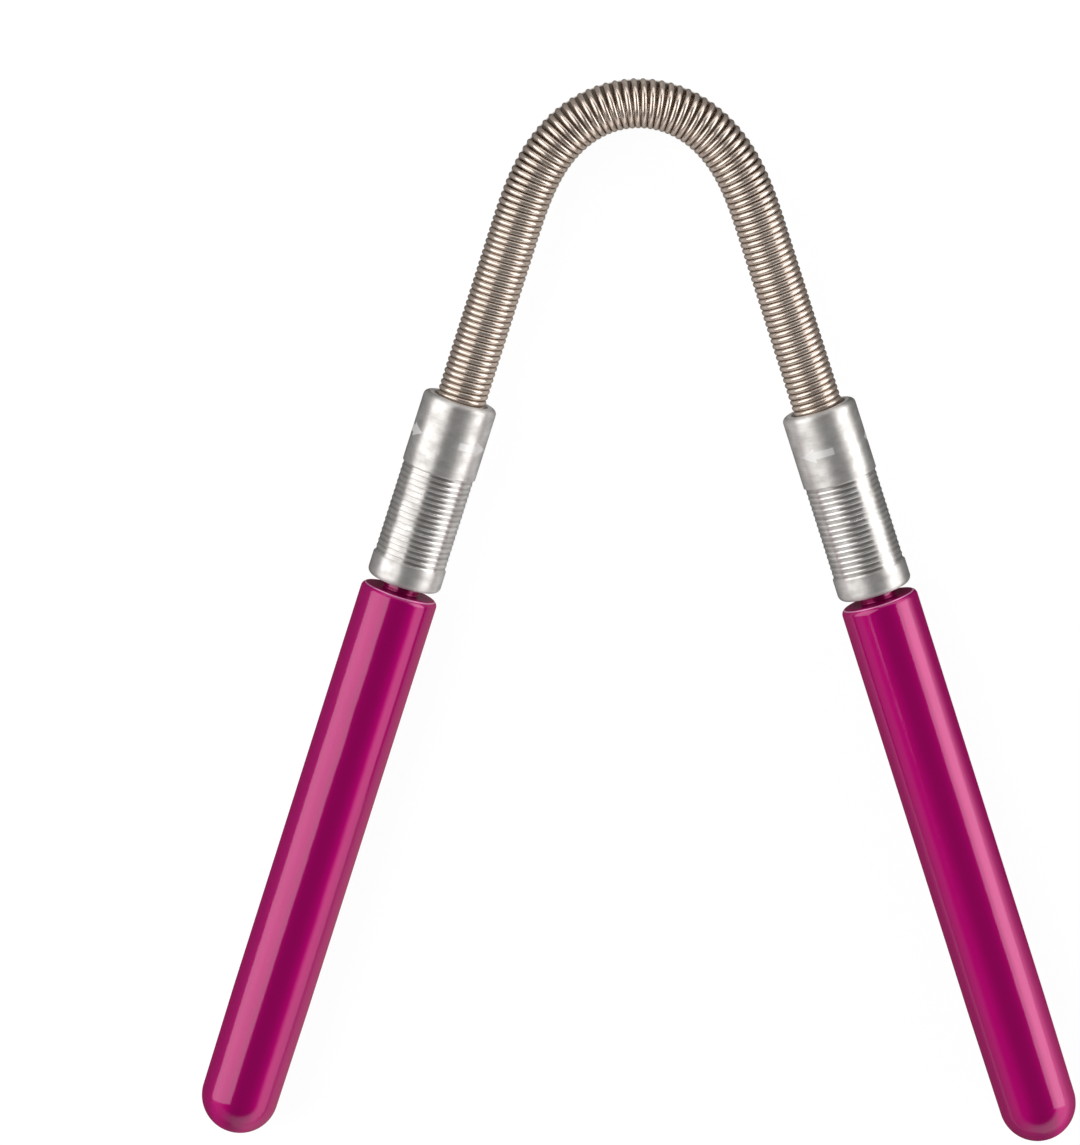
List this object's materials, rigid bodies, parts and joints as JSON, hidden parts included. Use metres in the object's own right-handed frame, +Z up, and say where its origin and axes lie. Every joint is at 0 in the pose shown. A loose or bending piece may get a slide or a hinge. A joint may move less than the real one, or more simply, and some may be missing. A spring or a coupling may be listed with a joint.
{
  "type": "facial hair removal spring",
  "caption": "Close-wound coil spring bent into an arch, with a grooved metal ferrule and a long glossy magenta grip on each end.",
  "frame": {"origin": "middle of the outline, on the plane the tool lies on", "axes": "+Y along the tool's middle line from the handles' tips to the top of the arch, +Z up from the plane it lies on, +X from the left handle to the right handle"},
  "size_m": [0.1004, 0.1234, 0.009],
  "materials": {
    "spring_steel": "bright drawn spring wire, warm nickel tone",
    "turned_aluminium": "turned and polished, fine rings round the axis",
    "magenta_lacquer": "glossy metallic magenta lacquer on turned aluminium"
  },
  "bodies": {
    "root": {"coil_spring": "spring_steel", "left_ferrule": "turned_aluminium", "right_ferrule": "turned_aluminium", "left_handle": "magenta_lacquer", "right_handle": "magenta_lacquer"}
  },
  "joints": []
}
